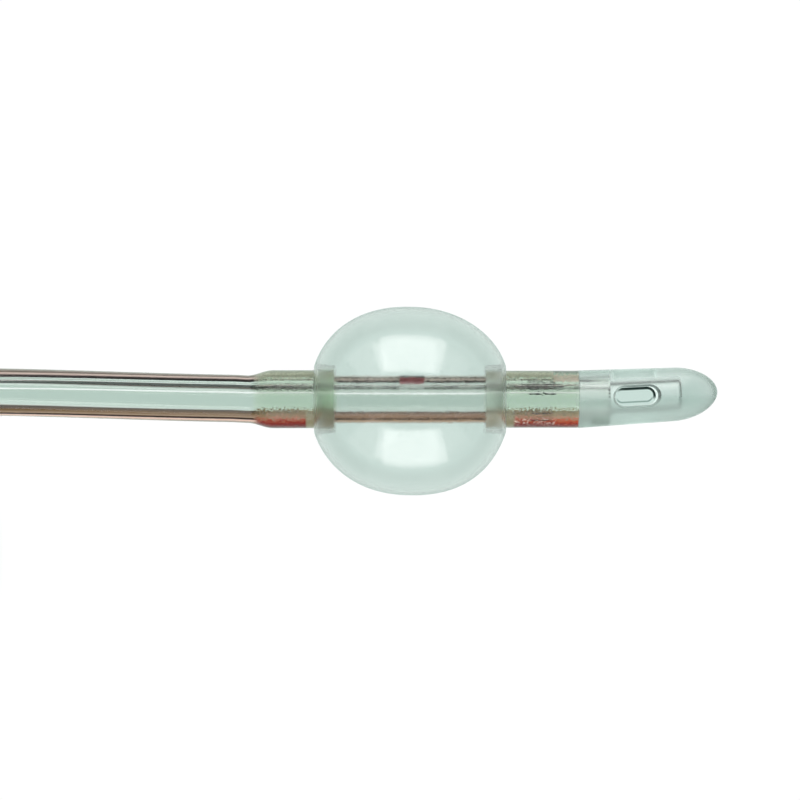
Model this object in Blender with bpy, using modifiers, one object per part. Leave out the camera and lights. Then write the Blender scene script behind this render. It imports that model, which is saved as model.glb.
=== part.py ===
"""Two-way silicone urinary catheter, lying on a surface with its balloon filled.

Metres, +Z up. The head (tip, balloon and rear bond) points along +X and rests on its balloon. The shaft runs
back from it, passes over its own loop and ends in the drainage funnel. The origin is under the head's middle.
"""

import math

import bmesh
import bpy
import numpy as np
from mathutils import Matrix, Vector

# Shaft: one extruded tube with a drainage lumen and a small inflation lumen.
SHAFT_RADIUS = 0.0030
DRAIN_LUMEN_RADIUS = 0.00142
DRAIN_LUMEN_OFFSET = 0.00017
INFLATION_LUMEN_RADIUS = 0.0004
INFLATION_LUMEN_OFFSET = 0.0020
INFLATION_LUMEN_ANGLE = math.radians(30)

# Balloon sleeve, measured from the balloon's middle.
BALLOON_RADIUS = 0.0119
BALLOON_HALF_LENGTH = 0.0127
BALLOON_FULLNESS = 2.2
BALLOON_WALL = 0.00035
CUFF_RADIUS = 0.00366
REAR_CUFF_REACH = 0.0173
FRONT_CUFF_REACH = 0.0212
FOLD_REACH = 0.0095
FOLD_GAP = 0.00022
NECK_RADIUS = 0.0043
BOND_CLEARANCE = 0.00008

# Smooth taper of adhesive behind the rear cuff.
REAR_BOND_LENGTH = 0.0032
REAR_BOND_LIP = 0.00012
BOND_STEPS = 7

# Moulded tip, measured from its joint with the shaft.
TIP_LENGTH = 0.0176
TIP_BASE_RADIUS = 0.00364
TIP_NOSE_RADIUS = 0.00338
TIP_NOSE_LENGTH = 0.0056
TIP_NOSE_FULLNESS = 1.9
TIP_TILT = math.radians(2.9)
TIP_LUMEN_RADIUS = 0.0016
TIP_LUMEN_DEPTH = 0.0129
TIP_LUMEN_CHAMFER = 0.0004
SPIGOT_RADIUS = 0.0025
SPIGOT_LENGTH = 0.0039
EYE_START = 0.0046
EYE_LENGTH = 0.0054
EYE_WIDTH = 0.0023
EYE_FLARE = 0.0003

# Notch that lets water from the inflation lumen into the balloon, and the two plugs that close that lumen.
NOTCH_LENGTH = 0.0031
NOTCH_WIDTH = 0.0014
NOTCH_START = -0.0013
FRONT_PLUG_START = 0.0148
FRONT_PLUG_LENGTH = 0.0035
REAR_PLUG_LENGTH = 0.0013
PLUG_CLEARANCE = 0.00006

# Drainage funnel with its inflation arm.
FUNNEL_LENGTH = 0.048
FUNNEL_LIP_RADIUS = 0.0036
FUNNEL_BODY_RADIUS = 0.0051
FUNNEL_MOUTH_RADIUS = 0.0058
FUNNEL_BEAD_RADIUS = 0.0063
FUNNEL_BEAD_WIDTH = 0.0026
FUNNEL_BEAD_CHAMFER = 0.0005
FUNNEL_MOUTH_BORE = 0.0048
FUNNEL_THROAT_BORE = 0.0036
FUNNEL_THROAT_DEPTH = 0.020
RELIEF_LENGTH = 0.010
RELIEF_LIP_WIDTH = 0.0010
FUNNEL_SEAT_BORE = 0.0016
SHAFT_SEAT_DEPTH = 0.012
ARM_ROOT = 0.006
ARM_ANGLE = math.radians(30)
ARM_LIFT = math.radians(20)
ARM_LENGTH = 0.036
ARM_ROOT_RADIUS = 0.0034
ARM_END_RADIUS = 0.0044
ARM_BORE = 0.0007
ARM_CONE_LENGTH = 0.0052

# Inflation valve in the end of the arm.
VALVE_BARREL_RADIUS = 0.0033
VALVE_BARREL_LENGTH = 0.0105
VALVE_COLLAR_RADIUS = 0.0043
VALVE_COLLAR_LENGTH = 0.0034
VALVE_WALL = 0.0007
VALVE_SEAT_LENGTH = 0.0016
INLET_LENGTH = 0.0098
INLET_MOUTH_BORE = 0.00214
INLET_TAPER = 0.03
INLET_FLANGE_RADIUS = 0.0036
INLET_FLANGE_LENGTH = 0.0009
MEMBRANE_THICKNESS = 0.0009
MEMBRANE_DOME = 0.00045
VALVE_CLEARANCE = 0.00008

# Where the shaft lies, as points chosen along it from the head to the funnel.
SHAFT_ROUTE = [
    (-0.0365, 0.0002, 0.01165),
    (-0.0465, 0.0005, 0.0113),
    (-0.0565, 0.0008, 0.0109),
    (-0.0665, 0.0010, 0.0103),
    (-0.0765, 0.0011, 0.0094),
    (-0.0875, 0.0011, 0.0077),
    (-0.0985, 0.0012, 0.0058),
    (-0.1095, 0.0012, 0.0043),
    (-0.1182, 0.0008, 0.0034),
    (-0.1271, -0.0010, 0.0031),
    (-0.1349, -0.0053, 0.0031),
    (-0.1407, -0.0121, 0.0031),
    (-0.1438, -0.0206, 0.0031),
    (-0.1438, -0.0296, 0.0031),
    (-0.1407, -0.0381, 0.0031),
    (-0.1349, -0.0449, 0.0031),
    (-0.1271, -0.0493, 0.0031),
    (-0.1182, -0.0511, 0.0031),
    (-0.1080, -0.0514, 0.0031),
    (-0.0978, -0.0512, 0.0031),
    (-0.0871, -0.0493, 0.0031),
    (-0.0777, -0.0439, 0.0031),
    (-0.0708, -0.0356, 0.0031),
    (-0.0671, -0.0254, 0.0031),
    (-0.0671, -0.0146, 0.0031),
    (-0.0708, -0.0044, 0.0031),
    (-0.0780, 0.0039, 0.0034),
    (-0.0872, 0.0093, 0.0050),
    (-0.0965, 0.0112, 0.0064),
]
FUNNEL_POINT = (-0.1015, 0.0112, 0.0064)
ROUTE_STATIONS = 62
TWIST_START = 0.10
TWIST_END = 0.90

AXIS_HEIGHT = BALLOON_RADIUS
TIP_REACH = FRONT_CUFF_REACH + TIP_LENGTH * math.cos(TIP_TILT)
REAR_REACH = REAR_CUFF_REACH + REAR_BOND_LENGTH
BALLOON_X = (REAR_REACH - TIP_REACH) / 2
JOINT_X = BALLOON_X + FRONT_CUFF_REACH
SLEEVE_BORE = SHAFT_RADIUS + BOND_CLEARANCE
BORE_REACH = 0.002
ROUND_STEPS = 36
FINE_STEPS = 28
TUBE_SIDES = 12
BORE_SIDES = 8
WELD = 0.000001

JOINT = Vector((JOINT_X, 0, AXIS_HEIGHT))
TIP_DIRECTION = Vector((math.cos(TIP_TILT), math.sin(TIP_TILT), 0))
FUNNEL_DIRECTION = Vector((-1, 0, 0))
ARM_DIRECTION = Vector(
    (
        -math.cos(ARM_ANGLE),
        -math.sin(ARM_ANGLE) * math.cos(ARM_LIFT),
        math.sin(ARM_ANGLE) * math.sin(ARM_LIFT),
    )
)
ARM_START = Vector(FUNNEL_POINT) + FUNNEL_DIRECTION * ARM_ROOT
ARM_END = ARM_START + ARM_DIRECTION * ARM_LENGTH
CHANNEL_START = ARM_START + ARM_DIRECTION * (INFLATION_LUMEN_OFFSET / math.sin(ARM_ANGLE))


def clear_scene():
    for old in list(bpy.data.objects):
        bpy.data.objects.remove(old, do_unlink=True)


def new_collection(name, hidden=False):
    collection = bpy.data.collections.new(name)
    bpy.context.scene.collection.children.link(collection)
    collection.hide_render = hidden
    return collection


def material(name, colour, roughness, transmission=0.0):
    """One finish: a Principled surface with the sub-part's colour."""
    made = bpy.data.materials.new(name)
    made.use_nodes = True
    shader = made.node_tree.nodes["Principled BSDF"]
    shader.inputs["Base Color"].default_value = (*colour, 1)
    shader.inputs["Roughness"].default_value = roughness
    shader.inputs["Metallic"].default_value = 0.0
    shader.inputs["Transmission Weight"].default_value = transmission
    shader.inputs["IOR"].default_value = 1.41
    return made


def as_part(obj, finish):
    PARTS.objects.link(obj)
    obj.data.materials.clear()
    obj.data.materials.append(finish)
    smooth(obj)
    return obj


def as_cutter(obj):
    CUTTERS.objects.link(obj)
    obj.hide_render = True
    obj.display_type = "WIRE"
    return obj


def smooth(obj):
    obj.data.shade_smooth()
    obj.data.set_sharp_from_angle(angle=math.radians(35))


def along(axis):
    """The rotation that turns local +Z to an axis."""
    return Vector(axis).to_track_quat("Z", "Y").to_matrix().to_4x4()


def turned(name, profile, origin, axis, steps=ROUND_STEPS, closed=True):
    """A turned body: (height, radius) points, from the top down the outer side, spun about the axis."""
    mesh = bpy.data.meshes.new(name)
    points = [(radius, 0, height) for height, radius in profile]
    edges = [(i, i + 1) for i in range(len(points) - 1)]
    if closed:
        edges.append((len(points) - 1, 0))
    mesh.from_pydata(points, edges, [])
    obj = bpy.data.objects.new(name, mesh)
    spin = obj.modifiers.new("Spin", "SCREW")
    spin.axis = "Z"
    spin.angle = math.tau
    spin.steps = steps
    spin.render_steps = steps
    spin.use_merge_vertices = True
    spin.merge_threshold = WELD
    spin.use_smooth_shade = True
    obj.matrix_world = Matrix.Translation(origin) @ along(axis)
    return obj


def cut(obj, *cutters):
    for cutter in cutters:
        boolean = obj.modifiers.new(f"Cut {cutter.name}", "BOOLEAN")
        boolean.operation = "DIFFERENCE"
        boolean.object = cutter
        boolean.solver = "EXACT"


def join(obj, *others):
    for other in others:
        boolean = obj.modifiers.new(f"Join {other.name}", "BOOLEAN")
        boolean.operation = "UNION"
        boolean.object = other
        boolean.solver = "EXACT"


def smooth_curve(points, count):
    """A natural cubic through the points, by chord length, read at even steps along it."""
    points = np.array(points, float)
    chords = np.linalg.norm(np.diff(points, axis=0), axis=1)
    knots = np.concatenate([[0], np.cumsum(chords)])
    size = len(points)
    system = np.eye(size)
    bends = np.zeros_like(points)
    for i in range(1, size - 1):
        before, after = chords[i - 1], chords[i]
        system[i, i - 1 : i + 2] = before, 2 * (before + after), after
        bends[i] = 6 * ((points[i + 1] - points[i]) / after - (points[i] - points[i - 1]) / before)
    bends = np.linalg.solve(system, bends)
    at = np.linspace(0, knots[-1], 20 * count)
    i = np.clip(np.searchsorted(knots, at) - 1, 0, size - 2)
    width = chords[i][:, None]
    back = (knots[i + 1] - at)[:, None]
    ahead = (at - knots[i])[:, None]
    fine = (
        bends[i] * back**3 / (6 * width)
        + bends[i + 1] * ahead**3 / (6 * width)
        + (points[i] / width - bends[i] * width / 6) * back
        + (points[i + 1] / width - bends[i + 1] * width / 6) * ahead
    )
    run = np.concatenate([[0], np.cumsum(np.linalg.norm(np.diff(fine, axis=0), axis=1))])
    even = np.linspace(0, run[-1], count)
    return np.stack([np.interp(even, run, fine[:, k]) for k in range(3)], axis=1)


def shaft_line():
    """The shaft's centreline: the spigot in the tip, the straight run in the sleeve, the route, the seat."""
    spigot_end = JOINT + TIP_DIRECTION * SPIGOT_LENGTH
    rear = (BALLOON_X - REAR_CUFF_REACH, 0, AXIS_HEIGHT)
    funnel = Vector(FUNNEL_POINT)
    seat_end = funnel + FUNNEL_DIRECTION * SHAFT_SEAT_DEPTH
    free = smooth_curve([rear, *SHAFT_ROUTE, FUNNEL_POINT], ROUTE_STATIONS)
    middle = (BALLOON_X, 0, AXIS_HEIGHT)
    return np.array([tuple(spigot_end), tuple(JOINT), middle, *free, tuple(seat_end)])


def frames(line):
    """Directions square to the line at each point: one level, and one up."""
    ahead = np.gradient(line, axis=0)
    ahead /= np.linalg.norm(ahead, axis=1)[:, None]
    level = np.cross(ahead, (0, 0, 1))
    level /= np.linalg.norm(level, axis=1)[:, None]
    return level, np.cross(level, ahead)


def lumen_line(line, offset, angle):
    """A line inside the shaft, which turns with the shaft's twist between the head and the funnel."""
    run = np.concatenate([[0], np.cumsum(np.linalg.norm(np.diff(line, axis=0), axis=1))])
    part = np.clip((run / run[-1] - TWIST_START) / (TWIST_END - TWIST_START), 0, 1)
    twist = (math.pi - ARM_LIFT - INFLATION_LUMEN_ANGLE) * part * part * (3 - 2 * part)
    level, up = frames(line)
    turn = (angle + twist)[:, None]
    return line + offset * (np.cos(turn) * level + np.sin(turn) * up)


def tube(name, line, radius, sides):
    """A tube along a line, as a mesh with welded caps."""
    curve = bpy.data.curves.new(name, "CURVE")
    curve.dimensions = "3D"
    curve.bevel_depth = radius
    curve.bevel_resolution = (sides - 4) // 2
    curve.use_fill_caps = True
    spline = curve.splines.new("POLY")
    spline.points.add(len(line) - 1)
    for point, place in zip(spline.points, line):
        point.co = (*place, 1)
    guide = bpy.data.objects.new(f"{name} guide", curve)
    bpy.context.scene.collection.objects.link(guide)
    bpy.context.view_layer.update()
    seen = guide.evaluated_get(bpy.context.evaluated_depsgraph_get())
    mesh = bpy.data.meshes.new_from_object(seen)
    mesh.name = name
    welded = bmesh.new()
    welded.from_mesh(mesh)
    bmesh.ops.remove_doubles(welded, verts=welded.verts, dist=WELD)
    bmesh.ops.recalc_face_normals(welded, faces=welded.faces)
    welded.to_mesh(mesh)
    welded.free()
    obj = bpy.data.objects.new(name, mesh)
    obj.matrix_world = guide.matrix_world
    bpy.data.objects.remove(guide, do_unlink=True)
    return obj


def rod(name, start, end, radius, steps=BORE_SIDES):
    """A plain round cutter or plug between two points."""
    start, end = Vector(start), Vector(end)
    length = (end - start).length
    profile = [(length, 0), (length, radius), (0, radius), (0, 0)]
    return turned(name, profile, start, end - start, steps, closed=False)


def extended(line, reach):
    """The line made longer at both ends, so that a cutter passes the caps."""
    first = line[0] + (line[0] - line[1]) / np.linalg.norm(line[0] - line[1]) * reach
    last = line[-1] + (line[-1] - line[-2]) / np.linalg.norm(line[-1] - line[-2]) * reach
    return np.array([first, *line[1:-1], last])


def lumen_place(x):
    """The inflation lumen's middle in the straight run through the sleeve."""
    return Vector(
        (
            BALLOON_X + x,
            INFLATION_LUMEN_OFFSET * math.cos(INFLATION_LUMEN_ANGLE),
            AXIS_HEIGHT + INFLATION_LUMEN_OFFSET * math.sin(INFLATION_LUMEN_ANGLE),
        )
    )


def inflation_notch():
    """Box cutter from the inflation lumen's middle out through the shaft's wall."""
    mesh = bpy.data.meshes.new("inflation_notch")
    cube = bmesh.new()
    bmesh.ops.create_cube(cube, size=1)
    cube.to_mesh(mesh)
    cube.free()
    obj = bpy.data.objects.new("inflation_notch", mesh)
    depth = 2 * (SHAFT_RADIUS - INFLATION_LUMEN_OFFSET)
    middle = lumen_place(NOTCH_START + NOTCH_LENGTH / 2)
    outward = Vector((0, math.cos(INFLATION_LUMEN_ANGLE), math.sin(INFLATION_LUMEN_ANGLE)))
    turn = Matrix.Rotation(INFLATION_LUMEN_ANGLE, 4, "X")
    size = Matrix.Diagonal((NOTCH_LENGTH, depth, NOTCH_WIDTH, 1))
    obj.matrix_world = Matrix.Translation(middle + outward * depth / 2) @ turn @ size
    return as_cutter(obj)


def make_shaft(finish):
    line = shaft_line()
    shaft = as_part(tube("shaft", line, SHAFT_RADIUS, TUBE_SIDES), finish)
    drain_line = extended(lumen_line(line, -DRAIN_LUMEN_OFFSET, INFLATION_LUMEN_ANGLE), SHAFT_RADIUS)
    inflation_line = lumen_line(line, INFLATION_LUMEN_OFFSET, INFLATION_LUMEN_ANGLE)
    drain = as_cutter(tube("drain_lumen", drain_line, DRAIN_LUMEN_RADIUS, BORE_SIDES))
    inflation = as_cutter(
        tube(
            "inflation_lumen",
            extended(inflation_line, SHAFT_RADIUS),
            INFLATION_LUMEN_RADIUS,
            BORE_SIDES,
        )
    )
    reach = 2 * SPIGOT_LENGTH
    outside = 2 * SHAFT_RADIUS
    profile = [(reach, SPIGOT_RADIUS), (reach, outside), (0, outside), (0, SPIGOT_RADIUS)]
    turning = as_cutter(turned("spigot_turning", profile, JOINT, TIP_DIRECTION, FINE_STEPS))
    port = as_cutter(rod("arm_port", CHANNEL_START, ARM_END, ARM_BORE))
    cut(shaft, drain, inflation, turning, inflation_notch(), port)
    return inflation_line


def make_lumen_plugs(inflation_line, finish):
    radius = INFLATION_LUMEN_RADIUS - PLUG_CLEARANCE
    start = lumen_place(FRONT_PLUG_START)
    end = lumen_place(FRONT_PLUG_START + FRONT_PLUG_LENGTH)
    as_part(rod("front_lumen_plug", start, end, radius), finish)
    last = Vector(inflation_line[-1])
    inward = (Vector(inflation_line[-2]) - last).normalized()
    as_part(rod("rear_lumen_plug", last, last + inward * REAR_PLUG_LENGTH, radius), finish)


def balloon_curve(half_length, radius, stop_radius, count):
    """Half of the filled balloon's outline, from its middle to where it reaches the stop radius."""
    full = 2 / BALLOON_FULLNESS
    stop = math.asin((stop_radius / radius) ** (1 / full))
    angles = np.linspace(math.pi / 2, stop, count)
    return [
        (half_length * math.cos(a) ** full, radius * math.sin(a) ** full) for a in angles
    ]


def make_balloon_sleeve(finish):
    """Cuffs bonded to the shaft, and the wall that folds back over each cuff and swells between them."""
    outer = balloon_curve(BALLOON_HALF_LENGTH, BALLOON_RADIUS, NECK_RADIUS, 12)
    inner = balloon_curve(
        BALLOON_HALF_LENGTH - BALLOON_WALL,
        BALLOON_RADIUS - BALLOON_WALL,
        NECK_RADIUS + BALLOON_WALL,
        11,
    )
    fold_outer = CUFF_RADIUS + FOLD_GAP
    fold_inner = fold_outer + BALLOON_WALL
    turn_x = outer[-1][0]
    front_outer = [
        (FRONT_CUFF_REACH - BOND_CLEARANCE, CUFF_RADIUS),
        (FOLD_REACH, CUFF_RADIUS),
        (FOLD_REACH - FOLD_GAP / 2, CUFF_RADIUS + FOLD_GAP / 2),
        (FOLD_REACH, fold_outer),
        (turn_x - BALLOON_WALL / 2, fold_outer),
        (turn_x, (fold_outer + outer[-1][1]) / 2),
    ]
    rear_outer = [
        (-x, radius)
        for x, radius in reversed([(REAR_CUFF_REACH, CUFF_RADIUS), *front_outer[1:]])
    ]
    front_inner = [
        (FOLD_REACH - 2 * BALLOON_WALL, SLEEVE_BORE),
        (FOLD_REACH - 2 * BALLOON_WALL, fold_outer),
        (FOLD_REACH - BALLOON_WALL / 2, fold_inner),
        (turn_x - 1.5 * BALLOON_WALL, fold_inner + BALLOON_WALL / 2),
    ]
    profile = [
        *front_outer,
        *reversed(outer[1:]),
        *[(-x, radius) for x, radius in outer],
        *rear_outer,
        (-REAR_CUFF_REACH, SLEEVE_BORE),
        *[(-x, radius) for x, radius in front_inner],
        *[(-x, radius) for x, radius in reversed(inner[1:])],
        *inner,
        *reversed(front_inner),
        (FRONT_CUFF_REACH - BOND_CLEARANCE, SLEEVE_BORE),
    ]
    sleeve = turned("balloon_sleeve", profile, (BALLOON_X, 0, AXIS_HEIGHT), (1, 0, 0))
    as_part(sleeve, finish)


def make_rear_bond(finish):
    """Ring of adhesive that falls smoothly from the cuff's radius to the shaft's."""
    steps = BOND_STEPS
    top = REAR_BOND_LENGTH - BOND_CLEARANCE
    outer = []
    for i in range(steps):
        part = i / (steps - 1)
        ease = part * part * (3 - 2 * part)
        low = SLEEVE_BORE + REAR_BOND_LIP
        outer.append((top * (1 - part), CUFF_RADIUS + (low - CUFF_RADIUS) * ease))
    profile = [*outer, (0, SLEEVE_BORE), (top, SLEEVE_BORE)]
    origin = (BALLOON_X - REAR_REACH, 0, AXIS_HEIGHT)
    as_part(turned("rear_bond", profile, origin, (1, 0, 0)), finish)


def drainage_eyes():
    """Cutter through both walls of the tip: a slot with round ends that widens towards each surface."""
    reach = 1.5 * TIP_BASE_RADIUS
    straight = EYE_LENGTH - EYE_WIDTH
    rings = []
    for height, grow in ((-reach, 2), (-TIP_LUMEN_RADIUS, 0), (TIP_LUMEN_RADIUS, 0), (reach, 2)):
        half = EYE_WIDTH / 2 + grow * EYE_FLARE
        ring = []
        for i in range(FINE_STEPS):
            a = math.tau * (i + 0.5) / FINE_STEPS
            shift = math.copysign(straight / 2, math.cos(a))
            ring.append((shift + half * math.cos(a), half * math.sin(a), height))
        rings.append(ring)
    cage = bmesh.new()
    made = [[cage.verts.new(point) for point in ring] for ring in rings]
    for lower, upper in zip(made, made[1:]):
        for i in range(FINE_STEPS):
            j = (i + 1) % FINE_STEPS
            cage.faces.new((lower[i], lower[j], upper[j], upper[i]))
    cage.faces.new(list(reversed(made[0])))
    cage.faces.new(made[-1])
    mesh = bpy.data.meshes.new("drainage_eyes")
    cage.to_mesh(mesh)
    cage.free()
    obj = bpy.data.objects.new("drainage_eyes", mesh)
    middle = JOINT + TIP_DIRECTION * (EYE_START + EYE_LENGTH / 2)
    obj.matrix_world = Matrix.Translation(middle) @ Matrix.Rotation(TIP_TILT, 4, "Z")
    return as_cutter(obj)


def make_tip(finish):
    """Solid nose, a gently tapered body, a blind lumen and a socket for the shaft's spigot."""
    nose_start = TIP_LENGTH - TIP_NOSE_LENGTH
    power = 2 / TIP_NOSE_FULLNESS
    nose = []
    for a in np.linspace(0, math.pi / 2, 11):
        along_nose = TIP_NOSE_LENGTH * math.cos(a) ** power
        nose.append((nose_start + along_nose, TIP_NOSE_RADIUS * math.sin(a) ** power))
    base = BOND_CLEARANCE + TIP_BASE_RADIUS * math.sin(TIP_TILT)
    seat = SPIGOT_RADIUS + BOND_CLEARANCE
    seat_depth = SPIGOT_LENGTH + BOND_CLEARANCE
    profile = [
        *nose,
        (nose_start / 2, (TIP_BASE_RADIUS + TIP_NOSE_RADIUS) / 2),
        (base, TIP_BASE_RADIUS),
        (base, seat),
        (seat_depth, seat),
        (seat_depth, TIP_LUMEN_RADIUS),
        (TIP_LUMEN_DEPTH - TIP_LUMEN_CHAMFER, TIP_LUMEN_RADIUS),
        (TIP_LUMEN_DEPTH, TIP_LUMEN_RADIUS - TIP_LUMEN_CHAMFER),
        (TIP_LUMEN_DEPTH, 0),
    ]
    tip = turned("tip", profile, JOINT, TIP_DIRECTION, FINE_STEPS, closed=False)
    as_part(tip, finish)
    cut(tip, drainage_eyes())


def make_funnel(finish):
    """Moulded Y piece: a strain relief round the shaft, a body, the flared mouth and the inflation arm."""
    bead_start = FUNNEL_LENGTH - FUNNEL_BEAD_WIDTH
    flare_start = FUNNEL_LENGTH - FUNNEL_THROAT_DEPTH
    chamfer = FUNNEL_BEAD_CHAMFER
    body = [
        (FUNNEL_LENGTH, 0),
        (FUNNEL_LENGTH, FUNNEL_BEAD_RADIUS - chamfer),
        (FUNNEL_LENGTH - chamfer, FUNNEL_BEAD_RADIUS),
        (bead_start + chamfer, FUNNEL_BEAD_RADIUS),
        (bead_start, FUNNEL_MOUTH_RADIUS),
        ((bead_start + flare_start) / 2, (FUNNEL_MOUTH_RADIUS + FUNNEL_BODY_RADIUS) / 2),
        (flare_start, FUNNEL_BODY_RADIUS),
        (RELIEF_LENGTH, FUNNEL_BODY_RADIUS),
        (RELIEF_LENGTH / 2, (FUNNEL_LIP_RADIUS + FUNNEL_BODY_RADIUS) / 2),
        (RELIEF_LIP_WIDTH, FUNNEL_LIP_RADIUS),
        (0, FUNNEL_LIP_RADIUS),
        (0, 0),
    ]
    funnel = as_part(
        turned("drainage_funnel", body, FUNNEL_POINT, FUNNEL_DIRECTION, FINE_STEPS, closed=False),
        finish,
    )
    arm_profile = [
        (ARM_LENGTH, 0),
        (ARM_LENGTH, ARM_END_RADIUS),
        (ARM_LENGTH - VALVE_BARREL_LENGTH, ARM_END_RADIUS),
        (ARM_LENGTH - VALVE_BARREL_LENGTH - ARM_CONE_LENGTH, ARM_ROOT_RADIUS),
        (0, ARM_ROOT_RADIUS),
        (0, 0),
    ]
    arm = turned("inflation_arm", arm_profile, ARM_START, ARM_DIRECTION, FINE_STEPS, closed=False)
    seat = SHAFT_SEAT_DEPTH + BOND_CLEARANCE
    over = BORE_REACH
    bore = [
        (FUNNEL_LENGTH + over, 0),
        (FUNNEL_LENGTH + over, FUNNEL_MOUTH_BORE),
        (FUNNEL_LENGTH, FUNNEL_MOUTH_BORE),
        (flare_start, FUNNEL_THROAT_BORE),
        (seat + SHAFT_RADIUS, FUNNEL_SEAT_BORE),
        (seat, DRAIN_LUMEN_RADIUS),
        (seat, SLEEVE_BORE),
        (-over, SLEEVE_BORE),
        (-over, 0),
    ]
    passage = as_cutter(
        turned("drainage_passage", bore, FUNNEL_POINT, FUNNEL_DIRECTION, FINE_STEPS, closed=False)
    )
    channel = as_cutter(rod("arm_channel", CHANNEL_START, ARM_END, ARM_BORE, FINE_STEPS // 2))
    socket_start = ARM_END - ARM_DIRECTION * (VALVE_BARREL_LENGTH + VALVE_CLEARANCE)
    socket = as_cutter(
        rod(
            "valve_socket",
            socket_start,
            ARM_END + ARM_DIRECTION * over,
            VALVE_BARREL_RADIUS + VALVE_CLEARANCE,
            FINE_STEPS,
        )
    )
    join(funnel, as_cutter(arm))
    cut(funnel, socket, channel, passage)


def make_valve(housing_finish, inlet_finish, membrane_finish):
    """Coloured housing, the syringe inlet in it and the check membrane behind the inlet."""
    start = ARM_END - ARM_DIRECTION * VALVE_BARREL_LENGTH
    top = VALVE_BARREL_LENGTH + VALVE_COLLAR_LENGTH
    bore = VALVE_BARREL_RADIUS - VALVE_WALL
    seat_bore = bore - VALVE_WALL
    collar_start = VALVE_BARREL_LENGTH + VALVE_CLEARANCE
    chamfer = VALVE_WALL / 2
    housing = [
        (top, VALVE_COLLAR_RADIUS - chamfer),
        (top - chamfer, VALVE_COLLAR_RADIUS),
        (collar_start, VALVE_COLLAR_RADIUS),
        (collar_start, VALVE_BARREL_RADIUS),
        (0, VALVE_BARREL_RADIUS),
        (0, seat_bore),
        (VALVE_SEAT_LENGTH, seat_bore),
        (VALVE_SEAT_LENGTH, bore),
        (top, bore),
    ]
    as_part(turned("valve_housing", housing, start, ARM_DIRECTION, FINE_STEPS), housing_finish)
    fit = bore - VALVE_CLEARANCE
    flange_start = top + VALVE_CLEARANCE
    inlet_top = flange_start + INLET_FLANGE_LENGTH
    inlet_start = inlet_top - INLET_LENGTH
    inlet_bore = INLET_MOUTH_BORE - INLET_TAPER * INLET_LENGTH
    inlet = [
        (inlet_top, INLET_FLANGE_RADIUS),
        (flange_start, INLET_FLANGE_RADIUS),
        (flange_start, fit),
        (inlet_start, fit),
        (inlet_start, inlet_bore),
        (inlet_top, INLET_MOUTH_BORE),
    ]
    as_part(turned("valve_inlet", inlet, start, ARM_DIRECTION, FINE_STEPS), inlet_finish)
    floor = VALVE_SEAT_LENGTH + VALVE_CLEARANCE
    membrane_top = min(inlet_start - VALVE_CLEARANCE, floor + MEMBRANE_THICKNESS)
    membrane = [
        (membrane_top + MEMBRANE_DOME, 0),
        (membrane_top, fit / 3),
        (membrane_top, fit),
        (floor, fit),
        (floor, fit / 3),
        (floor + MEMBRANE_DOME, 0),
    ]
    as_part(
        turned("valve_membrane", membrane, start, ARM_DIRECTION, FINE_STEPS, closed=False),
        membrane_finish,
    )


clear_scene()
PARTS = new_collection("urinary_catheter")
CUTTERS = new_collection("cutters", hidden=True)
clear_silicone = material("clear_silicone", (0.72, 0.82, 0.77), 0.12, 0.85)
frosted_silicone = material("frosted_silicone", (0.70, 0.80, 0.74), 0.35, 0.7)
adhesive = material("adhesive", (0.70, 0.80, 0.70), 0.2, 0.8)
milky_silicone = material("milky_silicone", (0.80, 0.84, 0.82), 0.35, 0.3)
coloured_plastic = material("coloured_plastic", (0.62, 0.05, 0.04), 0.35)
white_plastic = material("white_plastic", (0.85, 0.85, 0.83), 0.3)
check_rubber = material("check_rubber", (0.25, 0.26, 0.27), 0.5)

plug_line = make_shaft(clear_silicone)
make_lumen_plugs(plug_line, adhesive)
make_balloon_sleeve(frosted_silicone)
make_rear_bond(adhesive)
make_tip(clear_silicone)
make_funnel(milky_silicone)
make_valve(coloured_plastic, white_plastic, check_rubber)
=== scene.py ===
"""Clear silicone urinary catheter on a pale table, seen from straight above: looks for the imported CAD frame.

Metres, +Z up. The head (tip, balloon, cuffs) points along +X; the shaft runs back from it, round one loop, to
the drainage funnel. A length that the part's source also holds has the same name as there.
"""

import math

import bmesh
import bpy
import numpy as np
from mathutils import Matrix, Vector


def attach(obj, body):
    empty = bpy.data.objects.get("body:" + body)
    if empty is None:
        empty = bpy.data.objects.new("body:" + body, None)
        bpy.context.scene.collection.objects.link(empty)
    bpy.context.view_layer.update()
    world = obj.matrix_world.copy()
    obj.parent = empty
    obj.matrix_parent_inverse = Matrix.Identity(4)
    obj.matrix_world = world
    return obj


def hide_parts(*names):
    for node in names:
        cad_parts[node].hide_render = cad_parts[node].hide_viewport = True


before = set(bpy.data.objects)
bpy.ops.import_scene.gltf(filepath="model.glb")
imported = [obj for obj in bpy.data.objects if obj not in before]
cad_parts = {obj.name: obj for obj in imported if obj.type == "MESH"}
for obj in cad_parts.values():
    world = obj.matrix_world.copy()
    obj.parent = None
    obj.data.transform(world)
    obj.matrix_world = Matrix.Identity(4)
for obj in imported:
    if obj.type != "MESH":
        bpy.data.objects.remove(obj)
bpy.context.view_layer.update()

# Lengths that the part's source also holds.
SHAFT_RADIUS = 0.0030
DRAIN_LUMEN_RADIUS = 0.00142
DRAIN_LUMEN_OFFSET = 0.00017
INFLATION_LUMEN_RADIUS = 0.0004
INFLATION_LUMEN_OFFSET = 0.0020
INFLATION_LUMEN_ANGLE = math.radians(30)
BALLOON_RADIUS = 0.0119
BALLOON_HALF_LENGTH = 0.0127
BALLOON_FULLNESS = 2.2
BALLOON_WALL = 0.00035
CUFF_RADIUS = 0.00366
REAR_CUFF_REACH = 0.0173
FRONT_CUFF_REACH = 0.0212
FOLD_REACH = 0.0095
FOLD_GAP = 0.00022
NECK_RADIUS = 0.0043
BOND_CLEARANCE = 0.00008
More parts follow.
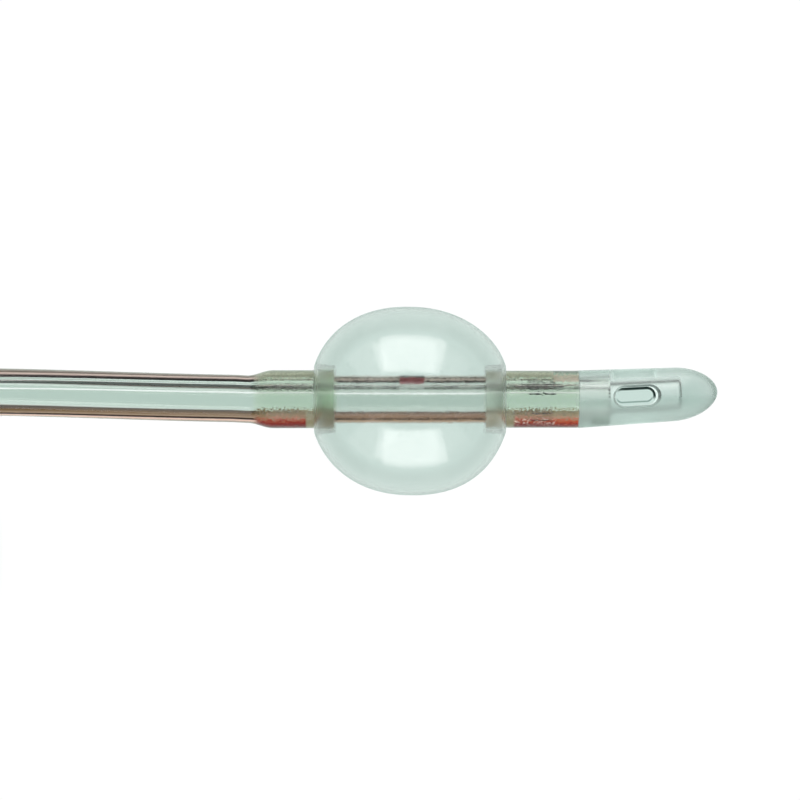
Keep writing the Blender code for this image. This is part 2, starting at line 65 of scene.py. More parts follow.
REAR_BOND_LENGTH = 0.0032
TIP_LENGTH = 0.0176
TIP_BASE_RADIUS = 0.00364
TIP_NOSE_RADIUS = 0.00338
TIP_NOSE_LENGTH = 0.0056
TIP_NOSE_FULLNESS = 1.9
TIP_TILT = math.radians(2.9)
TIP_LUMEN_RADIUS = 0.0016
TIP_LUMEN_DEPTH = 0.0129
TIP_LUMEN_CHAMFER = 0.0004
SPIGOT_RADIUS = 0.0025
SPIGOT_LENGTH = 0.0039
EYE_START = 0.0046
EYE_LENGTH = 0.0054
EYE_WIDTH = 0.0023
EYE_FLARE = 0.0003
NOTCH_LENGTH = 0.0031
NOTCH_WIDTH = 0.0014
NOTCH_START = -0.0013
FRONT_PLUG_START = 0.0148
FRONT_PLUG_LENGTH = 0.0035
SHAFT_SEAT_DEPTH = 0.012
ARM_LIFT = math.radians(20)
TWIST_START = 0.10
TWIST_END = 0.90
AXIS_HEIGHT = BALLOON_RADIUS
TIP_REACH = FRONT_CUFF_REACH + TIP_LENGTH * math.cos(TIP_TILT)
REAR_REACH = REAR_CUFF_REACH + REAR_BOND_LENGTH
BALLOON_X = (REAR_REACH - TIP_REACH) / 2
JOINT_X = BALLOON_X + FRONT_CUFF_REACH

# The shaft's route from the head to the funnel, as in the part's source.
SHAFT_ROUTE = [
    (-0.0365, 0.0002, 0.01165),
    (-0.0465, 0.0005, 0.0113),
    (-0.0565, 0.0008, 0.0109),
    (-0.0665, 0.0010, 0.0103),
    (-0.0765, 0.0011, 0.0094),
    (-0.0875, 0.0011, 0.0077),
    (-0.0985, 0.0012, 0.0058),
    (-0.1095, 0.0012, 0.0043),
    (-0.1182, 0.0008, 0.0034),
    (-0.1271, -0.0010, 0.0031),
    (-0.1349, -0.0053, 0.0031),
    (-0.1407, -0.0121, 0.0031),
    (-0.1438, -0.0206, 0.0031),
    (-0.1438, -0.0296, 0.0031),
    (-0.1407, -0.0381, 0.0031),
    (-0.1349, -0.0449, 0.0031),
    (-0.1271, -0.0493, 0.0031),
    (-0.1182, -0.0511, 0.0031),
    (-0.1080, -0.0514, 0.0031),
    (-0.0978, -0.0512, 0.0031),
    (-0.0871, -0.0493, 0.0031),
    (-0.0777, -0.0439, 0.0031),
    (-0.0708, -0.0356, 0.0031),
    (-0.0671, -0.0254, 0.0031),
    (-0.0671, -0.0146, 0.0031),
    (-0.0708, -0.0044, 0.0031),
    (-0.0780, 0.0039, 0.0034),
    (-0.0872, 0.0093, 0.0050),
    (-0.0965, 0.0112, 0.0064),
]
FUNNEL_POINT = (-0.1015, 0.0112, 0.0064)

# The tube's layout gives the way along it as a share of this length.
RUN_SCALE = 0.4

# The glued front cuff is a little slimmer than the part's, and the tip's open end starts just past the joint.
FRONT_CUFF_RADIUS = 0.00360
TIP_BASE_START = 0.00006

# The X-ray stripes in the shaft's wall: the radii between which they lie, and the angles from the top between
# which each lies. One is on the near side (-Y) and one on the far side (+Y), with a ribbon of painted light
# above it: a painted highlight along the drainage lumen and a painted shade line over the inflation lumen.
STRIPE_WALLS = (0.00262, 0.00290)
STRIPE_END = math.radians(114)
NEAR_STRIPE_START = math.radians(18)
FAR_STRIPE_START = math.radians(44)
PAINTED_LIGHT_RIBBON_START = math.radians(9)
PAINTED_LIGHT_RIBBON_END = math.radians(41)

# The cut over the inflation lumen, the gap that the stripe keeps from it, and the stripe laid bare in it.
NOTCH_END = NOTCH_START + NOTCH_LENGTH
NOTCH_DEPTH = 0.00022
NOTCH_GAP = 0.00002
BARED_WALLS = (SHAFT_RADIUS - NOTCH_DEPTH - 0.00008, SHAFT_RADIUS - NOTCH_DEPTH - 0.00002)
BARED_ANGLES = (math.radians(42), math.radians(76))

# In the cuffs, the glue has no stripe's colour up to this distance from the balloon's middle. Next to the tip
# it is orange over this length. At the rear its look ends this far before the taper does.
BARE_GLUE_REACH = 0.0131
TIP_GLUE_LENGTH = 0.0032
TAPER_RUNOUT = 0.0012

# Hair-thin air lines left in the glue of the cuffs, drawn near black as painted shade: from, to, most radius,
# angle from the top, side (1 is far) and a kink's angle.
AIR_DEPTH = 0.00325
AIR_LINES = [
    (0.0148, 0.0184, 0.00013, math.radians(11), 1, math.radians(3)),
    (0.0128, 0.0196, 0.00012, math.radians(28), 1, 0.0),
    (0.0144, 0.0186, 0.00010, math.radians(24), 1, 0.0),
    (0.0138, 0.0190, 0.00010, math.radians(33), 1, 0.0),
    (0.0152, 0.0178, 0.00009, math.radians(33), -1, 0.0),
    (0.0150, 0.0176, 0.00009, math.radians(51), -1, 0.0),
    (-0.0192, -0.0140, 0.00015, math.radians(27), 1, 0.0),
]
AIR_KINK_PLACE = 0.52
AIR_KINK_WIDTH = 0.06
AIR_SWELL = 9000

# The filled balloon hangs a little to one side of the shaft, and more so towards the tip.
BALLOON_SAG = 0.00023
BALLOON_SLANT = 0.017

# A film of gel across the lower eye: its depth below the lumen, its thickness, its gap to the eye's wall and
# the width over which it climbs the wall.
GEL_DEPTH = 0.0002
GEL_THICKNESS = 0.0001
GEL_GAP = 0.00001
GEL_CLIMB = 0.00034

# The photograph's view: its middle, its width on the object and the camera's lens.
VIEW_MIDDLE = (-0.01040, -0.00010)
VIEW_WIDTH = 0.1010
LENS = 150.0
SENSOR = 36.0
NEAREST_SEEN = 0.01
FURTHEST_SEEN = 20

# How finely the surfaces are divided, how near points merge, and the least angle of a sharp edge.
ROUTE_RINGS = 250
HEAD_RINGS = 14
SEAT_RINGS = 8
STEP_HALF_WIDTH = 0.00003
TUBE_SIDES = 72
LUMEN_SIDES = 48
FINE_SIDES = 20
RIBBON_STEPS = 18
TURNED_SIDES = 96
NOSE_STEPS = 36
BODY_STEPS = 26
LUMEN_STEPS = 20
BALLOON_SIDES = 144
BALLOON_STEPS = 48
EYE_SIDES = 64
EYE_STEPS = 33
AIR_RINGS = 60
AIR_SIDES = 8
WELD = 0.0000001
SHARP = math.radians(40)

# Softboxes, 1 m away, which stand on both sides: azimuth and zenith angle, width, height and radiance.
SOFTBOX_DISTANCE = 1.0
SOFTBOXES = {
    "softbox": (math.radians(87), math.radians(62), 0.86, 0.975, 2.4),
    "side_softbox": (math.radians(128), math.radians(62), 0.60, 0.975, 0.8),
}
LAMP_COLOUR = (1.0, 0.94, 0.95)

# The table's half width, its drop under the object and how near the object its painted contact shadow reaches.
TABLE_REACH = 3.0
TABLE_DROP = 0.0002
CONTACT_REACH = 0.0035

# What several finishes share.
WHITE = (1.0, 1.0, 1.0)
BLACK = (0.0, 0.0, 0.0)
SILICONE_IOR = 1.41
ABSORPTION_DENSITY = 200

# A place past every piece, for a mask that is open on one side.
BEYOND = 1.0


def make_camera():
    """A long lens straight above the middle of the view."""
    data = bpy.data.cameras.new("camera")
    data.type = "PERSP"
    data.lens = LENS
    data.sensor_width = SENSOR
    data.clip_start = NEAREST_SEEN
    data.clip_end = FURTHEST_SEEN
    camera = bpy.data.objects.new("camera", data)
    camera.location = (*VIEW_MIDDLE, AXIS_HEIGHT + VIEW_WIDTH * LENS / SENSOR)
    bpy.context.scene.collection.objects.link(camera)
    bpy.context.scene.camera = camera


# Mesh tools


def grid(points, slot=0, inward=False, lie=None):
    """A sheet of points [rows, columns, 3], its material's place, the side it faces and its (u, v) layout."""
    points = np.asarray(points, float)
    if lie is None:
        lie = layout_of(*(np.linspace(0, 1, count) for count in points.shape[:2]))
    return {"points": points, "slot": slot, "inward": inward, "lie": lie}


def layout_of(u, v):
    """The (u, v) layout of a sheet, from the u of its rows and the v of its columns."""
    return np.stack(np.meshgrid(u, v, indexing="ij"), axis=-1)


def sheet_quads(points, inward):
    """Quads between neighbours of a sheet that runs round a middle, all facing away from it or towards it."""
    rows, columns = points.shape[:2]
    i, j = np.meshgrid(np.arange(rows - 1), np.arange(columns - 1), indexing="ij")
    corner = i * columns + j
    quads = np.stack([corner, corner + columns, corner + columns + 1, corner + 1], axis=-1).reshape(-1, 4)
    corners = points.reshape(-1, 3)[quads]
    normals = np.cross(corners[:, 2] - corners[:, 0], corners[:, 3] - corners[:, 1])
    middles = points.mean(axis=1)
    away = corners.mean(axis=1) - (middles[i.ravel()] + middles[i.ravel() + 1]) / 2
    outward = np.sum(normals * away) > 0
    return quads if outward != inward else quads[:, ::-1]


def build(name, grids, materials):
    """One smooth mesh from several sheets: their quads one after the other, points at one place merged."""
    points, quads, slots, lies, start = [], [], [], [], 0
    for g in grids:
        faces = sheet_quads(g["points"], g["inward"])
        points.append(g["points"].reshape(-1, 3))
        lies.append(g["lie"].reshape(-1, 2)[faces.ravel()])
        quads.append(faces + start)
        slots.append(np.full(len(faces), g["slot"]))
        start += len(points[-1])
    mesh = bpy.data.meshes.new(name)
    mesh.from_pydata(np.concatenate(points), [], np.concatenate(quads))
    mesh.polygons.foreach_set("material_index", np.concatenate(slots))
    mesh.uv_layers.new(name="lie").data.foreach_set("uv", np.concatenate(lies).ravel())
    welded = bmesh.new()
    welded.from_mesh(mesh)
    bmesh.ops.remove_doubles(welded, verts=welded.verts, dist=WELD)
    welded.to_mesh(mesh)
    welded.free()
    for material in materials:
        mesh.materials.append(material)
    mesh.shade_smooth()
    mesh.set_sharp_from_angle(angle=SHARP)
    obj = bpy.data.objects.new(name, mesh)
    bpy.context.scene.collection.objects.link(obj)
    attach(obj, "root")
    return obj


def spokes(side, up, angles):
    """Directions round a line: cos a * side + sin a * up, for each of its points and each angle a."""
    return np.cos(angles)[:, None] * side[:, None] + np.sin(angles)[:, None] * up[:, None]


def rings(middles, side, up, radius, angles):
    """Closed rings round a line: middle + radius * (cos a * side + sin a * up), for each of the angles a.

    The radius is one number, or one for each ring, or one for each point of each ring.
    """
    radius = np.asarray(radius, float)
    if radius.ndim < 2:
        radius = np.broadcast_to(radius, len(middles))[:, None]
    return middles[:, None] + radius[..., None] * spokes(side, up, angles)


def round_angles(sides):
    """Angles of a full turn, with the first repeated at the end."""
    return np.linspace(0, math.tau, sides + 1)


def straight_rings(x, radius, sides, middle_y=0.0, middle_z=AXIS_HEIGHT):
    """Rings square to the X axis at each x: (x, y + r cos a, z + r sin a)."""
    middles = np.stack(np.broadcast_arrays(np.asarray(x, float), middle_y, middle_z), axis=1)
    side = np.broadcast_to((0.0, 1.0, 0.0), middles.shape)
    up = np.broadcast_to((0.0, 0.0, 1.0), middles.shape)
    return rings(middles, side, up, radius, round_angles(sides))


def lid(ring):
    """A flat cap over a ring: its middle point repeated, then the ring."""
    return np.stack([np.broadcast_to(ring[:-1].mean(axis=0), ring.shape), ring])


def ease(value):
    """Smooth step from 0 to 1: 3 t^2 - 2 t^3."""
    t = np.clip(value, 0, 1)
    return t * t * (3 - 2 * t)


# The shaft's line


def run_along(line):
    """The way along a line to each of its points."""
    return np.concatenate([[0], np.cumsum(np.linalg.norm(np.diff(line, axis=0), axis=1))])


def along_tube(x):
    """The layout's u in the straight head, from a distance to the balloon's middle."""
    return (FRONT_CUFF_REACH + SPIGOT_LENGTH - x) / RUN_SCALE


def smooth_curve(points, count):
    """A natural cubic through the points, by chord length, read at even steps along it."""
    points = np.array(points, float)
    chords = np.linalg.norm(np.diff(points, axis=0), axis=1)
    knots = run_along(points)
    size = len(points)
    system = np.eye(size)
    bends = np.zeros_like(points)
    for i in range(1, size - 1):
        before, after = chords[i - 1], chords[i]
        system[i, i - 1 : i + 2] = before, 2 * (before + after), after
        bends[i] = 6 * ((points[i + 1] - points[i]) / after - (points[i] - points[i - 1]) / before)
    bends = np.linalg.solve(system, bends)
    at = np.linspace(0, knots[-1], 20 * count)
    i = np.clip(np.searchsorted(knots, at) - 1, 0, size - 2)
    width = chords[i][:, None]
    back = (knots[i + 1] - at)[:, None]
    ahead = (at - knots[i])[:, None]
    fine = (
        bends[i] * back**3 / (6 * width)
        + bends[i + 1] * ahead**3 / (6 * width)
        + (points[i] / width - bends[i] * width / 6) * back
        + (points[i + 1] / width - bends[i + 1] * width / 6) * ahead
    )
    run = run_along(fine)
    even = np.linspace(0, run[-1], count)
    return np.stack([np.interp(even, run, fine[:, k]) for k in range(3)], axis=1)


def head_stations():
    """Distances from the balloon's middle, front to rear, with close rings where the outside steps."""
    close = STEP_HALF_WIDTH
    spigot_end = FRONT_CUFF_REACH + SPIGOT_LENGTH
    stations = [spigot_end, *np.linspace(spigot_end - 0.0002, FRONT_CUFF_REACH + 2 * close, SEAT_RINGS)]
    steps = [FRONT_CUFF_REACH, FOLD_REACH, NOTCH_END, NOTCH_START, -FOLD_REACH, -REAR_CUFF_REACH]
    for start, stop in zip(steps, steps[1:]):
        stations += [start + close, start - close]
        stations += list(np.linspace(start - close, stop + close, HEAD_RINGS)[1:-1])
    stations += list(np.linspace(-REAR_CUFF_REACH, -REAR_REACH, HEAD_RINGS))
    return np.array(stations)


def head_radius(x):
    """Outside radius at a distance from the balloon's middle: spigot, front cuff, shaft, rear cuff, taper."""
    taper = ease((x + REAR_REACH) / REAR_BOND_LENGTH)
    radius = SHAFT_RADIUS + (CUFF_RADIUS - SHAFT_RADIUS) * taper
    radius = np.where(x > -FOLD_REACH, SHAFT_RADIUS, radius)
    radius = np.where(x > FOLD_REACH, FRONT_CUFF_RADIUS, radius)
    return np.where(x > FRONT_CUFF_REACH, SPIGOT_RADIUS, radius)


def shaft_rings():
    """The shaft's line with its radius: straight head, free route, straight seat in the funnel."""
    x = head_stations()
    head = np.stack([BALLOON_X + x, np.zeros(len(x)), np.full(len(x), AXIS_HEIGHT)], axis=1)
    rear = (BALLOON_X - REAR_CUFF_REACH, 0, AXIS_HEIGHT)
    free = smooth_curve([rear, *SHAFT_ROUTE, FUNNEL_POINT], ROUTE_RINGS)
    # The curve starts inside the head, so its points count from half a millimetre behind the head on.
    past = np.argmax(free[:, 0] < head[-1, 0] - 0.0005)
    seat = np.array(FUNNEL_POINT) + np.outer(np.linspace(0, SHAFT_SEAT_DEPTH, SEAT_RINGS)[1:], (-1, 0, 0))
    line = np.concatenate([head, free[past:], seat])
    radius = np.concatenate([head_radius(x), np.full(len(line) - len(head), SHAFT_RADIUS)])
    return line, radius


def unit(vectors):
    """Each vector at length 1."""
    return vectors / np.linalg.norm(vectors, axis=1)[:, None]


def twisted(line):
    """Level and upward directions square to the line, turned by the shaft's twist between head and funnel."""
    ahead = unit(np.gradient(line, axis=0))
    level = unit(np.cross(ahead, (0, 0, 1)))
    up = np.cross(level, ahead)
    run = run_along(line)
    part = ease((run / run[-1] - TWIST_START) / (TWIST_END - TWIST_START))
    twist = (math.pi - ARM_LIFT - INFLATION_LUMEN_ANGLE) * part
    c, s = np.cos(twist)[:, None], np.sin(twist)[:, None]
    return c * level + s * up, c * up - s * level


# Shader tools


def shade(red, green, blue):
    """A colour as a screen shows it, 0 to 255, in linear light."""
    parts = np.array([red, green, blue]) / 255
    return tuple(np.where(parts < 0.04045, parts / 12.92, ((parts + 0.055) / 1.055) ** 2.4).tolist())


def feed(tree, socket, value):
    """Links a socket from another one, or sets its value; a colour gets its alpha."""
    if isinstance(value, bpy.types.NodeSocket):
        tree.links.new(value, socket)
    else:
        socket.default_value = (*value, 1) if socket.type == "RGBA" else value


def add_node(tree, kind, inputs=None, **settings):
    """A new node with its settings, and its inputs fed by name or place."""
    node = tree.nodes.new(f"ShaderNode{kind}")
    for name, value in settings.items():
        setattr(node, name, value)
    for name, value in (inputs or {}).items():
        feed(tree, node.inputs[name], value)
    return node


def maths(tree, operation, first, *others):
    """Math nodes that join values from the left, each a socket or a number; one value makes one node."""
    if not others:
        return add_node(tree, "Math", {0: first}, operation=operation).outputs[0]
    total = first
    for value in others:
        total = add_node(tree, "Math", {0: total, 1: value}, operation=operation).outputs[0]
    return total


def ramp(tree, value, stops):
    """A colour that follows a value, by (place, colour) stops."""
    node = add_node(tree, "ValToRGB", {0: value})
    elements = node.color_ramp.elements
    for place, colour in stops[1:-1]:
        elements.new(place).color = (*colour, 1)
    for element, (place, colour) in zip((elements[0], elements[-1]), (stops[0], stops[-1])):
        element.position = place
        element.color = (*colour, 1)
    return node.outputs[0]


def by_ray(tree, ray, usual, special, output):
    """The usual shader, and a special one for one sort of ray, led to an output node."""
    path = add_node(tree, "LightPath")
    mix = add_node(tree, "MixShader", {0: path.outputs[ray], 1: usual, 2: special})
    feed(tree, output.inputs["Surface"], mix.outputs[0])


def new_group(name, takes, gives):
    """An empty shader group with named inputs (name, kind, value) and outputs (name, kind)."""
    group = bpy.data.node_groups.new(name, "ShaderNodeTree")
    for label, kind, value in takes:
        socket = group.interface.new_socket(name=label, in_out="INPUT", socket_type=f"NodeSocket{kind}")
        if value is not None:
            socket.default_value = value
    for label, kind in gives:
        group.interface.new_socket(name=label, in_out="OUTPUT", socket_type=f"NodeSocket{kind}")
    return group, group.nodes.new("NodeGroupInput").outputs, group.nodes.new("NodeGroupOutput").inputs


def unevenness_group():
    """Soft noise: its height for relief, and the same noise spread between a least and a most value."""
    group, takes, gives = new_group(
        "unevenness",
        [("Place", "Vector", None), *((name, "Float", 1.0) for name in ("Scale", "Least", "Most"))],
        [("Height", "Float"), ("Value", "Float")],
    )
    noise = add_node(group, "TexNoise", {"Detail": 3, "Vector": takes["Place"], "Scale": takes["Scale"]})
    height = noise.outputs["Fac"]
    reach = {"From Min": 0.35, "From Max": 0.65, "To Min": takes["Least"], "To Max": takes["Most"]}
    spread = add_node(group, "MapRange", {"Value": height, **reach}, interpolation_type="SMOOTHSTEP")
    feed(group, gives["Height"], height)
    feed(group, gives["Value"], spread.outputs["Result"])
    return group


def stretch_group():
    """A mask that is 1 between a start and an end value and fades over an edge on each side."""
    group, takes, gives = new_group(
        "stretch",
        [(name, "Float", 0.0) for name in ("At", "Start", "End", "Edge")],
        [("Mask", "Float")],
    )
    rise = maths(group, "SUBTRACT", takes["At"], takes["Start"])
    fall = maths(group, "SUBTRACT", takes["End"], takes["At"])
    sides = [maths(group, "ADD", maths(group, "DIVIDE", way, takes["Edge"]), 0.5) for way in (rise, fall)]
    lower = maths(group, "MINIMUM", *sides)
    mask = add_node(group, "MapRange", {"Value": lower}, interpolation_type="SMOOTHSTEP")
    feed(group, gives["Mask"], mask.outputs["Result"])
    return group


class Finish:
    """A material under construction: its tree, its Principled surface and short ways to add what it needs."""

    def __init__(self, name, colour, roughness, ior=SILICONE_IOR, clear=False):
        """A plain surface, clear as glass or not."""
        self.material = bpy.data.materials.new(name)
        self.material.use_nodes = True
        self.tree = self.material.node_tree
        self.surface = self.tree.nodes["Principled BSDF"]
        self.output = self.tree.nodes["Material Output"]
        self.place = add_node(self.tree, "TexCoord").outputs["Object"]
        self.give("Base Color", colour)
        self.give("Roughness", roughness)
        self.give("IOR", ior)
        if clear:
            self.give("Transmission Weight", 1.0)

    def give(self, name, value):
        """Sets one of the surface's inputs, or links it."""
        feed(self.tree, self.surface.inputs[name], value)

    def plus(self, *values):
        """The sum of some values."""
        return maths(self.tree, "ADD", *values)

    def less(self, first, second):
        """One value less another."""
        return maths(self.tree, "SUBTRACT", first, second)

    def times(self, *values):
        """The product of some values."""
        return maths(self.tree, "MULTIPLY", *values)

    def most(self, *values):
        """The greatest of some values."""
        return maths(self.tree, "MAXIMUM", *values)

    def split(self, vector):
        """The three numbers of a vector."""
        return list(add_node(self.tree, "SeparateXYZ", {0: vector}).outputs)

    def layout(self):
        """The piece's own layout: the way along it, and the way round it."""
        return self.split(add_node(self.tree, "UVMap", uv_map="lie").outputs[0])[:2]

    def drawn_out(self, *scale):
        """Object coordinates scaled by three numbers, for a pattern drawn out in one direction."""
        return add_node(self.tree, "Mapping", {"Scale": scale, "Vector": self.place}).outputs[0]

    def uneven(self, scale, least=0.0, most=1.0, place=None):
        """The shared unevenness, as its height and its value."""
        inputs = {"Place": place or self.place, "Scale": scale, "Least": least, "Most": most}
        node = add_node(self.tree, "Group", inputs, node_tree=UNEVENNESS)
        return node.outputs["Height"], node.outputs["Value"]

    def stretch(self, at, start, end, edge):
        """The shared mask between a start and an end value."""
        inputs = {"At": at, "Start": start, "End": end, "Edge": edge}
        return add_node(self.tree, "Group", inputs, node_tree=STRETCH).outputs["Mask"]

    def relief(self, height, strength, distance):
        """A bumpy surface."""
        bump = add_node(self.tree, "Bump", {"Strength": strength, "Distance": distance, "Height": height})
        self.give("Normal", bump.outputs["Normal"])

    def blend(self, mask, first, second):
        """Two colours, each a socket or a tuple, mixed by a mask."""
        mix = add_node(self.tree, "Mix", {"Factor": mask}, data_type="RGBA")
        for name, value in (("A", first), ("B", second)):
            feed(self.tree, next(i for i in mix.inputs if i.name == name and i.type == "RGBA"), value)
        return next(o for o in mix.outputs if o.type == "RGBA")

    def round_tones(self, turns, tones):
        """A colour that follows an angle in turns, by stops of degrees, red, green and blue."""
        return ramp(self.tree, turns, [(degrees / 360, shade(*colour)) for degrees, *colour in tones])

    def slant(self):
        """How much the surface turns away from the ray that meets it."""
        return add_node(self.tree, "LayerWeight", {"Blend": 0.5}).outputs["Facing"]

    def glow(self, mask, colour):
        """Faint light of a colour inside a mask."""
        self.give("Emission Color", self.blend(mask, BLACK, colour))
        self.give("Emission Strength", 1.0)

    def absorbs(self, *per_metre):
        """Light taken up inside the piece: red, green and blue shares per metre of the way through."""
        passed = [1 - share / ABSORPTION_DENSITY for share in per_metre]
        inside = add_node(self.tree, "VolumeAbsorption", {"Density": ABSORPTION_DENSITY, "Color": passed})
        feed(self.tree, self.output.inputs["Volume"], inside.outputs[0])

    def lets_lamps_through(self, *tint):
        """Lamp light passes straight through the piece, tinted, as it does through clear silicone."""
        through = add_node(self.tree, "BsdfTransparent", {"Color": [k**0.5 for k in tint]})
        by_ray(self.tree, "Is Shadow Ray", self.surface.outputs[0], through.outputs[0], self.output)


# The tube's finishes


def tube_silicone():
    """The shaft: clear green-grey silicone, frosted and speckled by the glue under the cuffs."""
    finish = Finish("clear_silicone", WHITE, 0.02, clear=True)
    u, _ = finish.layout()
    cuffs = bonded_stretch(finish, u)
    _, speckle = finish.uneven(3600)
    speckled = finish.blend(speckle, (0.93, 0.98, 0.86), (1.0, 1.0, 0.96))
    finish.give("Base Color", finish.blend(cuffs, WHITE, speckled))
    fine, gloss = finish.uneven(900, 0.015, 0.045)
    grain, haze = finish.uneven(4200, 0.04, 0.12)
    ripple, _ = finish.uneven(900)
    finish.give("Roughness", finish.plus(gloss, finish.times(cuffs, haze)))
    glued = finish.plus(grain, finish.times(ripple, 0.1))
    height = finish.plus(finish.times(fine, 0.05), finish.times(glued, cuffs))
    finish.relief(height, strength=0.6, distance=0.00008)
    finish.lets_lamps_through(0.94, 0.97, 0.95)
    finish.absorbs(86, 64, 81)
    return finish.material


def tube_stretch(finish, u, start, end, edge):
    """A mask over the tube between two distances from the balloon's middle, the front one first."""
    return finish.stretch(u, along_tube(start), along_tube(end), edge)


def bonded_stretch(finish, u):
    """A mask over the two cuffs and the adhesive taper."""
    front = tube_stretch(finish, u, FRONT_CUFF_REACH, FOLD_REACH, edge=0.0004)
    rear = tube_stretch(finish, u, -FOLD_REACH, -REAR_REACH + TAPER_RUNOUT, edge=0.0030)
    return finish.most(front, rear)


# Tones of the lines in the tube's wall: degrees from the top, with half a turn more on the far side, then
# red, green and blue as a screen shows them. By rising degrees they belong to the near stripe, to the ribbon
# of painted light over the lumens and to the far stripe. Besides the stripes' own colours they hold painted
# light: their palest stops are painted highlights and their darkest ones painted shade, and the dark teal
# stops are the painted shade line over the inflation lumen. They were set until the rendered lines looked
# right.
FREE_TONES = [
    (26, 84, 70, 10), (34, 66, 50, 0), (39, 113, 86, 30), (46, 152, 129, 99), (50, 193, 173, 149),
    (53, 90, 60, 36), (55, 16, 3, 0), (59, 20, 4, 0), (61, 255, 222, 205), (68, 240, 214, 198),
    (74, 160, 140, 122), (114, 132, 112, 94), (150, 16, 58, 42), (222, 16, 58, 42), (229, 24, 18, 14),
    (236, 34, 26, 20), (238, 190, 172, 165), (243, 255, 237, 226), (248, 126, 110, 100), (256, 150, 142, 130),
    (294, 150, 142, 130),
]
FAR_GLUED_TONES = [
    (150, 20, 40, 32), (222, 20, 40, 32), (236, 215, 220, 200), (250, 200, 204, 186), (262, 168, 172, 154),
    (294, 138, 142, 126),
]
GLUED_TONES = [
    (24, 131, 128, 80), (38, 129, 111, 71), (47, 170, 129, 101), (53, 188, 121, 93), (57, 196, 84, 58),
    (61, 166, 34, 18), (70, 142, 10, 2), (80, 118, 0, 0), (114, 92, 0, 0), *FAR_GLUED_TONES,
]
BARE_GLUE_TONES = [(24, 136, 138, 104), (60, 160, 150, 124), (114, 176, 170, 150), *FAR_GLUED_TONES]
TIP_GLUE_TONES = [
    (27, 140, 138, 96), (38, 149, 142, 101), (46, 172, 137, 105), (52, 189, 129, 97), (57, 218, 100, 66),
    (64, 206, 74, 40), (73, 156, 28, 4), (84, 122, 10, 0), (114, 92, 10, 0), (150, 20, 40, 32),
    (222, 20, 40, 32), (229, 214, 204, 190), (250, 224, 210, 198), (294, 214, 218, 206),
]
BALLOON_TONES = [
    (30, 110, 100, 64), (36, 104, 88, 56), (40, 136, 110, 82), (48, 156, 126, 98), (54, 156, 130, 104),
    (56.5, 46, 26, 8), (61, 60, 36, 14), (64, 196, 162, 126), (72, 196, 172, 144), (78, 140, 124, 104),
    (114, 170, 164, 150), (150, 20, 44, 36), (222, 20, 44, 36), (228, 50, 46, 36), (232, 56, 50, 40),
    (234, 200, 190, 178), (240, 210, 204, 190), (242, 70, 62, 52), (246, 80, 72, 62), (250, 190, 196, 186),
    (294, 190, 204, 194),
]

# Softness of a thin line's edges, in turns.
LINE_EDGE = 0.003


